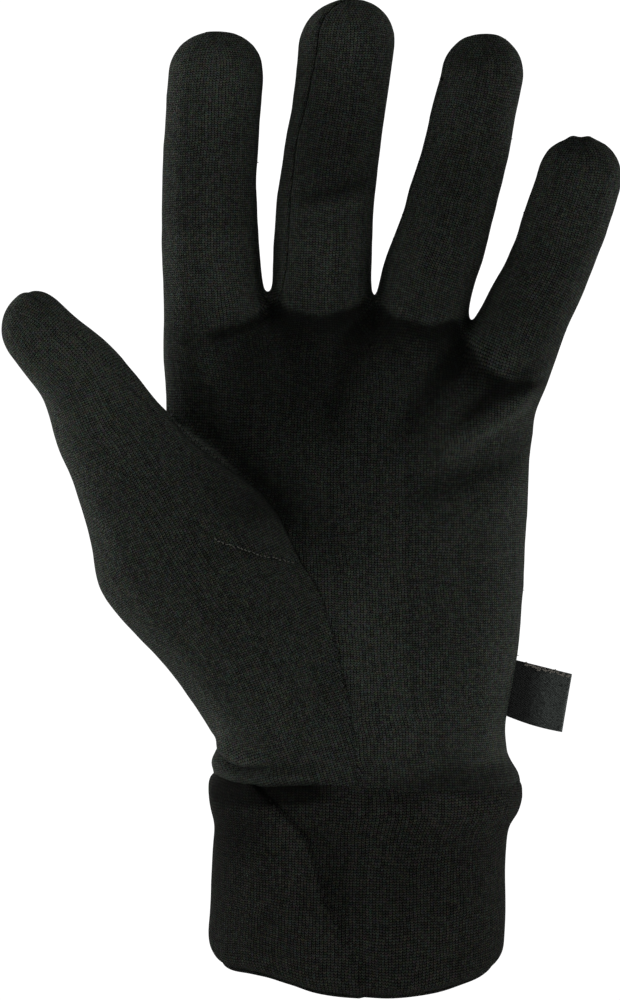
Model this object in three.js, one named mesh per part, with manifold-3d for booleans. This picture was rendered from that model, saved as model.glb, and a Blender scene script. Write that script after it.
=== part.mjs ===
// Stretch glove for the left hand, in black knit, in the shape it has when worn.
// Millimetres. Fingers point to +Z, the palm faces -Y and the thumb lies towards -X.
// The origin is the middle of the cuff's mouth, where the wrist goes in.
// The glove is one hollow skin of a palm, four fingers and a thumb, cut along its seams into
// panels. A folded band is the cuff, and a ribbon loop stands out of the side seam.
import * as THREE from "three";
import { mergeVertices } from "three/addons/utils/BufferGeometryUtils.js";
import Module from "manifold-3d";

const wasm = await Module();
wasm.setup();

// Driving sizes
const fabric = 1.2; // thickness of the knit
const seamGap = 0.3; // between two pieces that are sewn together
const bodyEnd = 41.6; // height at which the hand ends and the cuff begins
const cuffWall = 2.4; // the cuff is two layers
const ribbonReach = 13.5;
const ribbonLayer = 1;
const ribbonGap = 1;

// A table is named columns and a row for each section.
const table = (columns, rows) =>
  rows.map((row) => Object.fromEntries(columns.map((name, i) => [name, row[i]])));

// Sections of a tube, from its root to its end. x and z are the middle of the section, lean is
// the turn of the tube's run from +Z towards +X in degrees, and front and back are its depths.
const section = ["x", "z", "lean", "width", "front", "back"];

const palmRows = table(section, [
  [1.9, 34, 0, 73, -20, 26],
  [1.9, 41.7, 0, 73.6, -21, 24],
  [1.8, 44.5, 0, 72.6, -20.6, 22.5],
  [0.7, 48.2, 0, 70.9, -19.8, 20.5],
  [1, 52.3, 0, 69.7, -20, 18.5],
  [-0.1, 59.1, 0, 73.1, -20.5, 16.5],
  [-1, 71.2, 0, 78.1, -19.5, 15],
  [-1.7, 85.6, 0, 82.7, -17.5, 14.5],
  [-2.2, 102.5, 0, 85.4, -15.5, 14.5],
  [-2.3, 119.4, 1, 87.1, -14.2, 14],
  [-1.9, 131, 4, 89, -14.2, 12.6],
  [-1.5, 139, 5, 88.8, -13.8, 10.4],
  [-1.2, 146, 6, 88, -11.8, 7.6],
]);

const fingers = {
  index: {
    dome: 10.7,
    tip: 0.4,
    rows: table(section, [
      [-33.5, 126, 0, 20, -7, 9],
      [-34.1, 138, 0, 25, -10.8, 12],
      [-34.1, 149, 0, 26, -12.2, 11.4],
      [-34.5, 158, 0, 25.4, -13.2, 10.4],
      [-35.5, 167.6, -1, 23.6, -13.4, 8.6],
      [-35.8, 182.1, 0, 22.9, -13.1, 6.8],
      [-35.3, 196.6, 1, 22.9, -13.8, 4.6],
      [-34.2, 211.5, -1, 23, -14.6, 1.8],
    ]),
  },
  middle: {
    dome: 11.5,
    tip: 1.2,
    rows: table(section, [
      [-8.6, 126, 1, 20, -7.5, 9.6],
      [-9, 138, 1, 25.4, -11.2, 12.8],
      [-9, 149, 1, 26.4, -12.4, 12.2],
      [-8.9, 158, 1, 25.2, -13.4, 11],
      [-8.6, 168.8, 3, 23.6, -13.8, 9.4],
      [-8, 180.9, 5, 23.4, -13.6, 7.8],
      [-6.5, 192.2, 8, 23.2, -14, 6.2],
      [-4.3, 206.2, 7, 22.5, -15, 3.6],
      [-2.9, 218.3, 2, 23, -15.8, 0.8],
    ]),
  },
  ring: {
    dome: 10.5,
    tip: 0.3,
    rows: table(section, [
      [9, 123, 11, 19, -7.5, 9],
      [11.9, 135, 12, 23, -11, 12],
      [13.6, 146.5, 13, 24, -12.2, 11.4],
      [15, 154.8, 15, 23.2, -13.3, 10.2],
      [16.9, 163.3, 17, 22.2, -13.8, 8.8],
      [20.3, 173.2, 17, 21.6, -13.4, 7.6],
      [22.9, 183.1, 15, 21.1, -13.4, 6.2],
      [25.7, 193.2, 13, 20.6, -13.8, 4.6],
      [27.8, 203.3, 11, 20.2, -14.6, 2.6],
      [29.7, 211, 4, 19.8, -15.2, 0.8],
    ]),
  },
  little: {
    dome: 10,
    tip: 0.3,
    rows: table(section, [
      [27.5, 119, 18, 19, -7.5, 7.5],
      [30.9, 131, 24, 21.6, -10.8, 10.4],
      [35.2, 142, 28, 22.8, -12, 9.8],
      [38, 149, 30, 21.7, -12.8, 8.6],
      [41.2, 156.1, 29, 20.6, -12.8, 7.2],
      [44.9, 163.3, 25, 20, -12.6, 6],
      [47.8, 170.5, 19, 20, -12.6, 4.8],
      [50.2, 178.2, 15, 20.4, -12.8, 3.4],
      [52.9, 186.9, 5, 20.2, -13.6, 1.2],
    ]),
  },
};

const thumb = {
  dome: 9.6,
  tip: 0,
  rows: table(section, [
    [-14, 44, -14, 24, -16, 8],
    [-17.1, 54, -16, 31.4, -20.5, 11],
    [-21.1, 66, -20, 37.4, -24, 12],
    [-27.6, 78.6, -24, 40.8, -26.5, 11.5],
    [-34.4, 88, -25, 44, -28, 10],
    [-40.8, 98, -26, 45.8, -28.5, 8],
    [-47.4, 109.6, -27, 37.6, -28.3, 5],
    [-54.4, 120.2, -25, 30, -27.3, 0.8],
    [-59.8, 128, -22, 25.8, -26.8, -2.6],
    [-63.4, 134.8, -26, 22.8, -27, -5],
    [-67.5, 141, -36, 20.3, -27.4, -7],
    [-72.5, 145.6, -46, 18.4, -27.8, -9.4],
    [-77, 149.3, -50, 17.4, -28.4, -11.6],
  ]),
};

// The cuff, from its mouth up to the hand. pitch lowers the palm side of a ring.
const cuffRows = table([...section, "pitch"], [
  [0.1, 0.2, 0, 66.6, -17.4, 31.2, 16],
  [0, 1.8, 0, 70.2, -18.6, 31.6, 16],
  [-0.1, 4.4, 0, 71.6, -19.4, 31, 14],
  [0, 10, 0, 71.8, -20.4, 29.6, 12],
  [0.2, 20, 0, 70.6, -21.6, 27.4, 9],
  [0.4, 27, 0, 70.6, -22, 26.2, 7],
  [0.9, 31.4, 0, 71.4, -21.8, 25.6, 5],
  [1.7, 35, 0, 74.2, -21.8, 25.2, 3],
  [1.9, 38.4, 0, 75.6, -21.9, 25, 1],
  [1.8, 41.3, 0, 74.8, -21.6, 24.6, 0],
]);

// Waves of the cuff's mouth on the palm side. They fade out up the cuff.
const hemWaves = table(["x", "wide", "rise"], [
  [-25, 11, 2.6],
  [9, 12, -1],
]);

// The ribbon's four corners where it leaves the side seam and at its fold, x then z.
const ribbonCorners = {
  rootTop: [38.9, 71],
  rootEnd: [36.9, 57.3],
  foldTop: [51.6, 67.8],
  foldEnd: [49.2, 53.8],
};

// Soft mounds and hollows of the worn palm. rise is towards the palm side.
const mounds = table(["x", "z", "wide", "high", "rise"], [
  [-24, 71, 17, 19, 4], // ball of the thumb, near the wrist
  [25, 82, 16, 34, 4.5], // heel of the hand
  [-2, 113, 19, 26, -4], // hollow of the palm
  [30, 128, 12, 12, 2], // pad under the little finger
]);

// Folds of the palm side: each is a soft line from one end to the other.
const folds = table(["x1", "z1", "x2", "z2", "wide", "rise"], [
  [-33, 51, -18, 43, 2.6, 2.2], // the hand's fabric sags over the cuff below the thumb
  [-33, 45.5, -10, 42.5, 1.8, -1.6],
  [43, 137, 28, 125, 3, 1.4], // stretch folds below the little finger
  [40, 133.5, 27, 118, 2.6, -1.2],
  [40, 120, 24, 112, 4, -1],
]);

const squareness = 2.35; // 2 is an ellipse

// Straight line distance from a point to a fold, in the plane of the outline.
function lineDistance(x, z, fold) {
  const run = new THREE.Line3(
    new THREE.Vector3(fold.x1, 0, fold.z1),
    new THREE.Vector3(fold.x2, 0, fold.z2),
  );
  const point = new THREE.Vector3(x, 0, z);
  return run.closestPointToPoint(point, true, new THREE.Vector3()).distanceTo(point);
}

// How far the palm side stands out of the plain tube at x, z.
function relief(x, z) {
  let out = 0;
  for (const m of mounds)
    out += m.rise * Math.exp(-(((x - m.x) / m.wide) ** 2) - ((z - m.z) / m.high) ** 2);
  for (const f of folds) out += f.rise * Math.exp(-((lineDistance(x, z, f) / f.wide) ** 2));
  return out;
}

// Catmull-Rom values of every column, part way t from the first row to the last.
function rowAt(rows, t) {
  const columns = Object.keys(rows[0]);
  const place = t * (rows.length - 1);
  const i = Math.min(Math.floor(place), rows.length - 2);
  const u = place - i;
  const pick = (k) => rows[Math.min(Math.max(k, 0), rows.length - 1)];
  const blend = (a, b, c, d) =>
    b + 0.5 * u * (c - a + u * (2 * a - 5 * b + 4 * c - d + u * (3 * (b - c) + d - a)));
  return Object.fromEntries(
    columns.map((name) => [
      name,
      blend(pick(i - 1)[name], pick(i)[name], pick(i + 1)[name], pick(i + 2)[name]),
    ]),
  );
}

function hemRise(x, y, z) {
  if (z > 15 || y > 5) return 0;
  let out = 0;
  for (const wave of hemWaves) out += wave.rise * Math.exp(-(((x - wave.x) / wave.wide) ** 2));
  return out * THREE.MathUtils.smoothstep(15 - z, 0, 18) * THREE.MathUtils.smoothstep(5 - y, 0, 20);
}

const power = (value, exponent) => Math.sign(value) * Math.abs(value) ** exponent;

// One ring of a tube. shrink makes it smaller for a domed end, ahead moves it along the run,
// inset is the wall's thickness for the inside of the skin, and shaped adds the relief.
function ring(row, count, { inset = 0, shrink = 1, ahead = 0, shaped = false } = {}) {
  const lean = THREE.MathUtils.degToRad(row.lean);
  const half = (row.width / 2 - inset) * shrink;
  const middle = (row.front + row.back) / 2;
  const depth = ((row.back - row.front) / 2 - inset) * shrink;
  return Array.from({ length: count }, (_, k) => {
    const turn = (2 * Math.PI * k) / count;
    const across = half * power(Math.cos(turn), 2 / squareness);
    const y = middle + depth * power(Math.sin(turn), 2 / squareness);
    const x = row.x + across * Math.cos(lean) + ahead * Math.sin(lean);
    const drop = row.pitch ? (y - middle) * Math.tan(THREE.MathUtils.degToRad(row.pitch)) : 0;
    const z = row.z - across * Math.sin(lean) + ahead * Math.cos(lean) + drop;
    const facing = Math.max(0, -Math.sin(turn));
    if (!shaped) return new THREE.Vector3(x, y, z);
    return new THREE.Vector3(x, y - relief(x, z) * facing ** 0.7, z + hemRise(x, y, z));
  });
}

// A closed geometry through rings of points. Each end is a fan round the ring's middle, or the
// last ring is joined to the first.
function skin(rings, looped = false) {
  const count = rings[0].length;
  const points = rings.flat();
  const faces = [];
  const joins = looped ? rings.length : rings.length - 1;
  for (let i = 0; i < joins; i++)
    for (let k = 0; k < count; k++) {
      const a = i * count + k;
      const b = i * count + ((k + 1) % count);
      const up = ((i + 1) % rings.length) * count - i * count;
      faces.push(a, b, b + up, a, b + up, a + up);
    }
  if (!looped) {
    for (const end of [0, rings.length - 1]) {
      const middle = new THREE.Vector3();
      for (const point of rings[end]) middle.addScaledVector(point, 1 / count);
      points.push(middle);
      for (let k = 0; k < count; k++) {
        const a = end * count + k;
        const b = end * count + ((k + 1) % count);
        faces.push(...(end === 0 ? [b, a] : [a, b]), points.length - 1);
      }
    }
  }
  const geometry = new THREE.BufferGeometry().setFromPoints(points);
  geometry.setIndex(faces);
  return geometry;
}

function toSolid(geometry) {
  const plain = geometry.index ? geometry.clone() : geometry;
  plain.deleteAttribute("normal");
  plain.deleteAttribute("uv");
  const merged = mergeVertices(plain, 1e-3);
  return new wasm.Manifold(
    new wasm.Mesh({
      numProp: 3,
      vertProperties: merged.attributes.position.array,
      triVerts: new Uint32Array(merged.index.array),
    }),
  );
}

function toGeometry(solid) {
  const mesh = solid.getMesh();
  const geometry = new THREE.BufferGeometry();
  geometry.setAttribute("position", new THREE.BufferAttribute(mesh.vertProperties, 3));
  geometry.setIndex(new THREE.BufferAttribute(mesh.triVerts, 1));
  geometry.computeVertexNormals();
  return geometry;
}

// A tube through its rows, ended by a dome. tip moves the top of the dome to one side.
function tube({ rows, dome, tip }, { rings, around, domeRings = 4, inset = 0, shaped = false }) {
  const list = [];
  for (let i = 0; i <= rings; i++)
    list.push(ring(rowAt(rows, i / rings), around, { inset, shaped }));
  const last = rows[rows.length - 1];
  for (let i = 1; i < domeRings; i++) {
    const rise = Math.sin((i / domeRings) * (Math.PI / 2));
    const shrink = (1 - rise ** 2.1) ** (1 / 2.1);
    const row = { ...last, x: last.x + tip * rise };
    list.push(ring(row, around, { inset, shaped, shrink, ahead: rise * (dome - inset) }));
  }
  const row = { ...last, x: last.x + tip };
  list.push(ring(row, around, { inset, shaped, shrink: 0.12, ahead: dome - inset }));
  return toSolid(skin(list));
}

// The whole hand as one filled form, in rings and points around for each tube. The space
// inside the fabric is the same form with an inset, in fewer rings.
function handForm(inset, counts) {
  const { palm, finger, thumb: thumbCounts } = counts;
  const palmForm = tube({ rows: palmRows, dome: 4.5, tip: 0 }, { ...palm, inset, shaped: true });
  const parts = Object.values(fingers).map((each) => tube(each, { ...finger, inset }));
  const whole = palmForm.add(tube(thumb, { ...thumbCounts, inset }));
  return parts.reduce((sum, part) => sum.add(part), whole);
}

const outerCounts = {
  palm: { rings: 18, around: 34 },
  finger: { rings: 10, around: 16 },
  thumb: { rings: 14, around: 20 },
};
const innerCounts = {
  palm: { rings: 12, around: 24 },
  finger: { rings: 8, around: 12, domeRings: 3 },
  thumb: { rings: 9, around: 14, domeRings: 3 },
};

// A block that fills an outline in the x, z plane from one depth to another.
function prism(outline, front, back) {
  const shape = new THREE.Shape(outline.map(([x, z]) => new THREE.Vector2(x, z)));
  const block = new THREE.ExtrudeGeometry(shape, { depth: back - front, bevelEnabled: false });
  block.rotateX(Math.PI / 2);
  block.translate(0, back, 0);
  return toSolid(block);
}

// The side seams. They run at the middle of each tube's depth, turned round the tube by roll,
// which brings the seam to the palm side on the tube's left and takes it back on its right.
const tubes = [
  { rows: fingers.index.rows, roll: 0.05, shift: 0 },
  { rows: fingers.middle.rows, roll: 0.62, shift: 1.6 },
  { rows: fingers.ring.rows, roll: 0.3, shift: 0 },
  { rows: fingers.little.rows, roll: 0.1, shift: 0 },
];
const far = 300;

function seamDepth(x, z) {
  let sum = 0;
  let weight = 0;
  for (const { rows, roll, shift } of tubes) {
    const first = rows[0];
    const last = rows[rows.length - 1];
    const t = THREE.MathUtils.clamp((z - first.z) / (last.z - first.z), 0, 1);
    const row = rowAt(rows, t);
    const share = Math.exp(-(((x - row.x) / 9) ** 2)) + 1e-9;
    const held = THREE.MathUtils.smoothstep(z, 142, 165);
    const side = THREE.MathUtils.clamp(x - row.x, -16, 16);
    sum += share * ((row.front + row.back) / 2 + (roll * side - shift) * held);
    weight += share;
  }
  const palm = rowAt(palmRows, THREE.MathUtils.clamp((z - 41.7) / 100, 0, 1));
  const onFinger = THREE.MathUtils.smoothstep(z, 128, 150);
  return THREE.MathUtils.lerp((palm.front + palm.back) / 2, sum / weight, onFinger);
}

// Everything on the palm side of the side seams, with the seams moved back by a little.
function palmSide(by) {
  const columns = 28;
  const lines = 22;
  const x = (i) => -95 + (i * 165) / columns;
  const z = (j) => 20 + (j * 220) / lines;
  const rings = [];
  for (let i = 0; i <= columns; i++) {
    const seam = [];
    for (let j = 0; j <= lines; j++)
      seam.push(new THREE.Vector3(x(i), seamDepth(x(i), z(j)) + by, z(j)));
    const top = new THREE.Vector3(x(i), -far, z(lines));
    const bottom = new THREE.Vector3(x(i), -far, z(0));
    rings.push([...seam, top, bottom]);
  }
  return toSolid(skin(rings));
}

// The thumb piece's edge. On the palm side it follows the fold of the ball of the thumb to its
// point in the palm and then runs down to the cuff; on the back it returns to the side.
const betweenThumbAndIndex = [
  [-95, 230],
  [-58, 200],
  [-49, 142],
];
const crotch = [-44.8, 129.6];
const palmSeam = [
  crotch,
  [-40.6, 124.6],
  [-34.5, 119.8],
  [-28.5, 115.8],
  [-23, 111.6],
  [-18.8, 106.2],
  [-15.9, 100.2],
  [-13.5, 94.8],
  [-9.2, 87.6],
  [-5.6, 76],
  [-2.4, 63.9],
  [-0.7, 49.4],
  [0, 30],
];
const backSeam = [crotch, [-46, 117], [-47.6, 104], [-49.6, 90], [-53.5, 76], [-75, 68]];
const outsideTheThumb = [-95, 30];

// Moves the points of a seam sideways, square to its run, to leave the gap.
function movedOff(line, by) {
  return line.map(([x, z], i) => {
    const [x0, z0] = line[Math.max(i - 1, 0)];
    const [x1, z1] = line[Math.min(i + 1, line.length - 1)];
    const length = Math.hypot(x1 - x0, z1 - z0);
    return [x - ((z1 - z0) / length) * by, z + ((x1 - x0) / length) * by];
  });
}

function thumbRegion(off) {
  const front = [...betweenThumbAndIndex, ...movedOff(palmSeam, off), outsideTheThumb];
  const back = [...betweenThumbAndIndex, ...movedOff(backSeam, off)];
  return [prism(front, -far / 2, far / 2), prism(back, -far / 2, far / 2)];
}

const filled = handForm(0, outerCounts);
const space = handForm(fabric, innerCounts);
const shell = filled.subtract(space).trimByPlane([0, 0, 1], bodyEnd);

const inFront = palmSide(-seamGap / 2);
const notBehind = palmSide(seamGap / 2);
const [thumbFront, thumbBack] = thumbRegion(-seamGap / 2);
const [clearFront, clearBack] = thumbRegion(seamGap / 2);
const largest = (solid) =>
  solid.decompose().reduce((best, part) => (part.volume() > best.volume() ? part : best));

const palmPanel = largest(shell.intersect(inFront).subtract(clearFront));
const backPanel = largest(shell.subtract(notBehind).subtract(clearBack));
const thumbPanel = largest(
  shell.intersect(thumbBack).add(shell.intersect(inFront).intersect(thumbFront)),
);

// The band is folded at its mouth, so its wall runs from the outside round the fold to the
// inside.
const cuff = (() => {
  const count = 36;
  const levels = 9;
  const outer = [];
  const inner = [];
  for (let i = 0; i <= levels; i++) {
    const row = rowAt(cuffRows, i / levels);
    outer.push(ring(row, count, { shaped: true }));
  }
  for (let i = 5; i >= 0; i--) {
    const row = rowAt(cuffRows, i / 5);
    inner.push(ring(row, count, { inset: cuffWall, shaped: true }));
  }
  const mouth = cuffRows[0];
  const fold = [0.15, 0.5, 0.85].map((part) =>
    ring(mouth, count, {
      inset: cuffWall * (1 - part),
      ahead: -cuffWall * Math.sqrt(part * (1 - part)),
      shaped: true,
    }),
  );
  return toSolid(skin([...outer, ...inner, ...fold], true));
})();

// The ribbon runs out from the seam, turns over and comes back. Each ring is its thickness
// by its width, at a part of its reach and a depth.
const loop = (() => {
  const { rootTop, rootEnd, foldTop, foldEnd } = ribbonCorners;
  const seam = -2.2;
  const bend = (ribbonGap + ribbonLayer) / 2;
  const path = [];
  const straight = 1 - (bend + ribbonLayer / 2) / ribbonReach;
  for (const part of [0, 0.33, 0.67, 1]) path.push([part * straight, -bend, 0]);
  for (const turn of [45, 90, 135]) {
    const angle = THREE.MathUtils.degToRad(turn);
    path.push([straight + (bend / ribbonReach) * Math.sin(angle), -bend * Math.cos(angle), angle]);
  }
  for (const part of [1, 0.67, 0.33, 0]) path.push([part * straight, bend, Math.PI]);
  const rings = path.map(([reach, depth, angle]) => {
    const corner = (from, to, out) => {
      const along = reach + (out * Math.sin(angle)) / ribbonReach;
      const x = THREE.MathUtils.lerp(from[0], to[0], along);
      const z = THREE.MathUtils.lerp(from[1], to[1], along);
      return new THREE.Vector3(x, seam + depth - out * Math.cos(angle) + 1.5 * reach ** 2, z);
    };
    const half = ribbonLayer / 2;
    return [
      corner(rootTop, foldTop, -half),
      corner(rootTop, foldTop, half),
      corner(rootEnd, foldEnd, half),
      corner(rootEnd, foldEnd, -half),
    ];
  });
  return toSolid(skin(rings));
})();

const black = { roughness: 0.85, metalness: 0 };
const knit = new THREE.MeshStandardMaterial({ color: 0x1d201d, ...black });
const cuffKnit = new THREE.MeshStandardMaterial({ color: 0x191b19, ...black });
const ribbon = new THREE.MeshStandardMaterial({ color: 0x262a27, roughness: 0.6, metalness: 0 });

function named(name, solid, material) {
  const mesh = new THREE.Mesh(toGeometry(solid), material);
  mesh.name = name;
  return mesh;
}

const glove = new THREE.Group();
glove.add(named("palm_panel", palmPanel, knit));
glove.add(named("back_panel", backPanel, knit));
glove.add(named("thumb_panel", thumbPanel, knit));
glove.add(named("cuff", cuff, cuffKnit));
glove.add(named("label_tab", loop, ribbon));

export default glove;
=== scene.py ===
import math

import bpy
import numpy as np
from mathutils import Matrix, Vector


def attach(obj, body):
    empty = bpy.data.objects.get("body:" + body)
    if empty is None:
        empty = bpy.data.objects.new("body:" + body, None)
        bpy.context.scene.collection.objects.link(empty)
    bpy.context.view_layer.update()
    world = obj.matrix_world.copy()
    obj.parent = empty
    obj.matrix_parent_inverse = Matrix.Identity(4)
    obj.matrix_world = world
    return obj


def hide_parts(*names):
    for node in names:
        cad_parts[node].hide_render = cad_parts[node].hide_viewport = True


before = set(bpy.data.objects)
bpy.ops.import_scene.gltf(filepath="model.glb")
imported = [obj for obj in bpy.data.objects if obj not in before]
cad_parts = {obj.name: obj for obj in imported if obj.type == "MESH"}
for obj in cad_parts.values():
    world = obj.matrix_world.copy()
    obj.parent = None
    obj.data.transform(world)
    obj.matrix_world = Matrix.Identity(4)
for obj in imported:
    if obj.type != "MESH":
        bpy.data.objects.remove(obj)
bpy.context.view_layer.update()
print("frame loaded")

# All shapes are worked out in millimetres and go into the meshes in metres.
# +Z runs to the fingertips, the palm faces -Y and the thumb lies towards -X.
mm = 0.001


def tableOf(columns, rows):
    # named columns, each an array with a value for every row
    return dict(zip(columns.split(), np.array(rows, float).T))


def columnsAt(table, t):
    # Catmull-Rom value of every column at t, where 0 is the first row and 1 the last
    count = len(next(iter(table.values())))
    place = np.clip(np.asarray(t, float), 0, 1) * (count - 1)
    i = np.minimum(place.astype(int), count - 2)
    u = place - i
    out = {}
    for name, values in table.items():
        a, b, c, d = (values[np.clip(i + k, 0, count - 1)] for k in (-1, 0, 1, 2))
        bend = 2 * a - 5 * b + 4 * c - d + u * (3 * (b - c) + d - a)
        out[name] = b + 0.5 * u * (c - a + u * bend)
    return out


def signedPower(value, exponent):
    # the value's size to a power, with its own sign
    return np.sign(value) * np.abs(value) ** exponent


def smoothstep(x, low, high):
    # 0 up to low, 1 from high on, and 3 t^2 - 2 t^3 between them
    t = np.clip((np.asarray(x, float) - low) / (high - low), 0, 1)
    return t * t * (3 - 2 * t)


def bell(x, wide):
    # a soft hump of height 1 at x = 0
    return np.exp(-((x / wide) ** 2))


def meshObject(name, points, faces, grainUv=None):
    # a mesh object at the origin from points in millimetres
    mesh = bpy.data.meshes.new(name)
    faces = faces if isinstance(faces, list) else np.asarray(faces).tolist()
    mesh.from_pydata((np.asarray(points) * mm).tolist(), [], faces)
    mesh.shade_smooth()
    if grainUv is not None:
        layer = mesh.uv_layers.new(name="grain")
        loopPoints = np.empty(len(mesh.loops), int)
        mesh.loops.foreach_get("vertex_index", loopPoints)
        layer.data.foreach_set("uv", np.asarray(grainUv, np.float32)[loopPoints].ravel())
    obj = bpy.data.objects.new(name, mesh)
    bpy.context.scene.collection.objects.link(obj)
    return obj


def addNumbers(obj, name, values):
    # one number for each point, read by the materials
    layer = obj.data.attributes.new(name, "FLOAT", "POINT")
    layer.data.foreach_set("value", np.asarray(values, np.float32))


def gridFaces(rows, columns, loopRows=False, loopColumns=True):
    # quads of a grid of points, whose columns or rows may join round
    i, j = np.meshgrid(
        np.arange(rows if loopRows else rows - 1),
        np.arange(columns if loopColumns else columns - 1),
        indexing="ij",
    )
    i, j = i.ravel(), j.ravel()
    up, on = (i + 1) % rows, (j + 1) % columns
    return np.stack([i * columns + j, i * columns + on, up * columns + on, up * columns + j], 1)


# One row for each section: middle x and z, the lean of the run from +Z to +X in degrees,
# width, and the y of the palm side and of the back. Before the rows of a finger stand the
# height of its rounded tip and how far the top of the tip lies to a side.
hand = {
    "squareness": 2.35,
    "bodyEnd": 40.8,
    "edgeLift": 2.4,  # the lower edge is this much higher at the thumb's side
    "edgeTuck": 1.2,  # and turned in by this, or out by edgeFlush where it is flush
    "edgeFlush": 0.6,
    "wall": 1.0,
    "voxel": 0.78,
    "smoothPasses": 16,
    "bridgePasses": 130,  # where the cloth bridges two forms, it is smoothed this much more
    "crotches": [(-21.8, 151.5), (3, 151.5), (25.6, 145.5)],
    "palm": tableOf("x z lean width front back", [
        [1.9, 30, 0, 72, -19, 27],
        [1.9, 38, 0, 73, -20.4, 25],
        [1.9, 41.7, 0, 73.6, -21, 24],
        [1.8, 44.5, 0, 72.6, -20.6, 22.5],
        [0.7, 48.2, 0, 70.9, -19.8, 20.5],
        [0.75, 52.3, 0, 69.2, -20, 18.5],
        [-0.35, 59.1, 0, 72.6, -20.5, 16.5],
        [-1, 71.2, 0, 78.1, -19.5, 15],
        [-1.7, 85.6, 0, 82.7, -17.5, 14.5],
        [-2.2, 102.5, 0, 85.4, -15.5, 14.5],
        [-2.3, 119.4, 1, 87.1, -14.2, 14],
        [-1.9, 131, 4, 89, -14.2, 12.6],
        [-1.5, 139, 5, 88.8, -13.8, 10.4],
        [-1.2, 146, 6, 88, -11.8, 7.6],
    ]),
    "palmDome": (4.5, 0),
    "fingers": {
        "index": (10.7, 0.4, tableOf("x z lean width front back", [
            [-33.5, 126, 0, 20, -7, 9],
            [-34.1, 138, 0, 25, -10.8, 12],
            [-34.1, 149, 0, 26, -12.2, 11.4],
            [-34.5, 158, 0, 24.7, -13.2, 10.4],
            [-35.5, 167.6, -1, 23.6, -13.4, 8.6],
            [-35.8, 182.1, 0, 22.9, -13.1, 6.8],
            [-35.3, 196.6, 1, 22.9, -13.8, 4.6],
            [-34.2, 211.5, -1, 23, -14.6, 1.8],
        ])),
        "middle": (11.5, 1.2, tableOf("x z lean width front back", [
            [-8.6, 126, 1, 20, -7.5, 9.6],
            [-9, 138, 1, 25.4, -11.2, 12.8],
            [-9, 149, 1, 26.4, -12.4, 12.2],
            [-8.9, 158, 1, 24.3, -13.4, 11],
            [-8.6, 168.8, 3, 23.6, -13.8, 9.4],
            [-8, 180.9, 5, 23.4, -13.6, 7.8],
            [-6.5, 192.2, 8, 23.2, -14, 6.2],
            [-4.3, 206.2, 7, 22.5, -15, 3.6],
            [-2.9, 218.3, 2, 23, -15.8, 0.8],
        ])),
        "ring": (10.5, 0.3, tableOf("x z lean width front back", [
            [9, 123, 11, 19, -7.5, 9],
            [11.9, 135, 12, 23, -11, 12],
            [13.6, 146.5, 13, 24, -12.2, 11.4],
            [15.1, 154.8, 15, 22.5, -13.3, 10.2],
            [16.9, 163.3, 17, 22.2, -13.8, 8.8],
            [20.3, 173.2, 17, 21.6, -13.4, 7.6],
            [22.9, 183.1, 15, 21.1, -13.4, 6.2],
            [25.7, 193.2, 13, 20.6, -13.8, 4.6],
            [27.8, 203.3, 11, 20.2, -14.6, 2.6],
            [29.7, 211, 4, 19.8, -15.2, 0.8],
        ])),
        "little": (10, 0.3, tableOf("x z lean width front back", [
            [27.5, 119, 18, 19, -7.5, 7.5],
            [30.9, 131, 24, 21.6, -10.8, 10.4],
            [35.2, 142, 28, 22.8, -12, 9.8],
            [38, 149, 30, 21.7, -12.8, 8.6],
            [41.2, 156.1, 29, 20.6, -12.8, 7.2],
            [44.9, 163.3, 25, 20, -12.6, 6],
            [47.8, 170.5, 19, 20, -12.6, 4.8],
            [50.2, 178.2, 15, 20.4, -12.8, 3.4],
            [52.9, 186.9, 5, 20.2, -13.6, 1.2],
        ])),
    },
    "thumb": (10.3, 1.7, tableOf("x z lean width front back", [
        [-14, 44, -14, 24, -16, 8],
        [-17.1, 54, -16, 31.4, -20.5, 11],
        [-21.1, 66, -20, 37.4, -24, 12],
        [-27.6, 78.6, -24, 40.8, -26.5, 11.5],
        [-34.4, 88, -25, 44, -28, 10],
        [-40.8, 98, -26, 45.8, -28.5, 8],
        [-47.4, 109.6, -27, 37.6, -28.3, 5],
        [-54.4, 120.2, -25, 30, -27.3, 0.8],
        [-59.8, 128, -22, 25.8, -26.8, -2.6],
        [-63.4, 134.8, -26, 22.8, -27, -5],
        [-67.5, 141, -36, 20.3, -27.4, -7],
        [-72.5, 145.6, -46, 18.4, -27.8, -9.4],
        [-76.3, 149.9, -50, 17.6, -28.4, -11.6],
    ])),
}


def ringPoints(row, turns, shrink=1.0, ahead=0.0, inset=0.0):
    # a squared ellipse of the row's width and depth, square to its lean
    lean = np.radians(row["lean"])[..., None]
    half = ((row["width"] / 2 - inset) * shrink)[..., None]
    depth = (((row["back"] - row["front"]) / 2 - inset) * shrink)[..., None]
    middle = ((row["front"] + row["back"]) / 2)[..., None]
    power = 2 / hand["squareness"]
    across = half * signedPower(np.cos(turns), power)
    y = middle + depth * signedPower(np.sin(turns), power)
    ahead = np.broadcast_to(np.asarray(ahead, float), row["x"].shape)[..., None]
    x = row["x"][..., None] + across * np.cos(lean) + ahead * np.sin(lean)
    z = row["z"][..., None] - across * np.sin(lean) + ahead * np.cos(lean)
    return np.stack([x, y + 0 * x, z], -1)


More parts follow.
